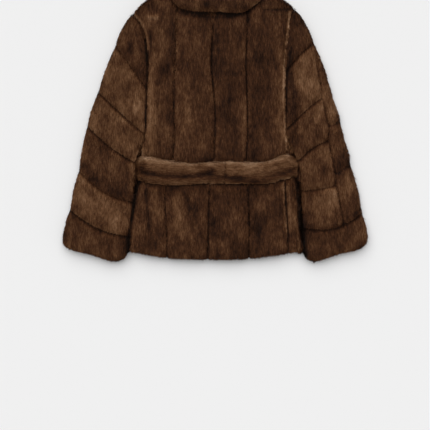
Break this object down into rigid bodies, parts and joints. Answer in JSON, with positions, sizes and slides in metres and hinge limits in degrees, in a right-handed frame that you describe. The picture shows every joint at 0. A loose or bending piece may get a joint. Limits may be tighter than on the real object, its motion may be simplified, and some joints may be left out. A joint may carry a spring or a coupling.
{
  "type": "faux fur jacket",
  "caption": "Short fur jacket lying flat with its back up: vertical fur strips across the back, slanted bands round wide sleeves, a turned-down collar and a fur belt round the waist.",
  "frame": {"origin": "middle of the jacket's box on the surface it lies on", "axes": "+Z away from the surface through the back of the jacket, +Y from the hem to the collar, +X to the right as the back is seen"},
  "size_m": [0.796, 0.774, 0.038],
  "materials": {
    "back_fur": "short dense dark brown pile on a woven backing, nap running down",
    "sleeve_fur": "short dense brown pile, nap running towards the cuff",
    "front_fur": "short dense dark brown pile, nap running down",
    "collar_fur": "short dense brown pile, nap running to the edge of the fall",
    "belt_fur": "short dense light brown pile over a soft core"
  },
  "bodies": {
    "root": {"back_1": "back_fur", "back_2": "back_fur", "back_3": "back_fur", "back_4": "back_fur", "belt_left": "belt_fur", "belt_right": "belt_fur", "collar": "collar_fur", "front_left": "front_fur", "front_right": "front_fur", "sleeve_left_1": "sleeve_fur", "sleeve_left_2": "sleeve_fur", "sleeve_left_3": "sleeve_fur", "sleeve_left_4": "sleeve_fur", "sleeve_left_5": "sleeve_fur", "sleeve_left_6": "sleeve_fur", "sleeve_left_under": "sleeve_fur", "sleeve_right_1": "sleeve_fur", "sleeve_right_2": "sleeve_fur", "sleeve_right_3": "sleeve_fur", "sleeve_right_4": "sleeve_fur", "sleeve_right_5": "sleeve_fur", "sleeve_right_6": "sleeve_fur", "sleeve_right_under": "sleeve_fur"}
  },
  "joints": []
}
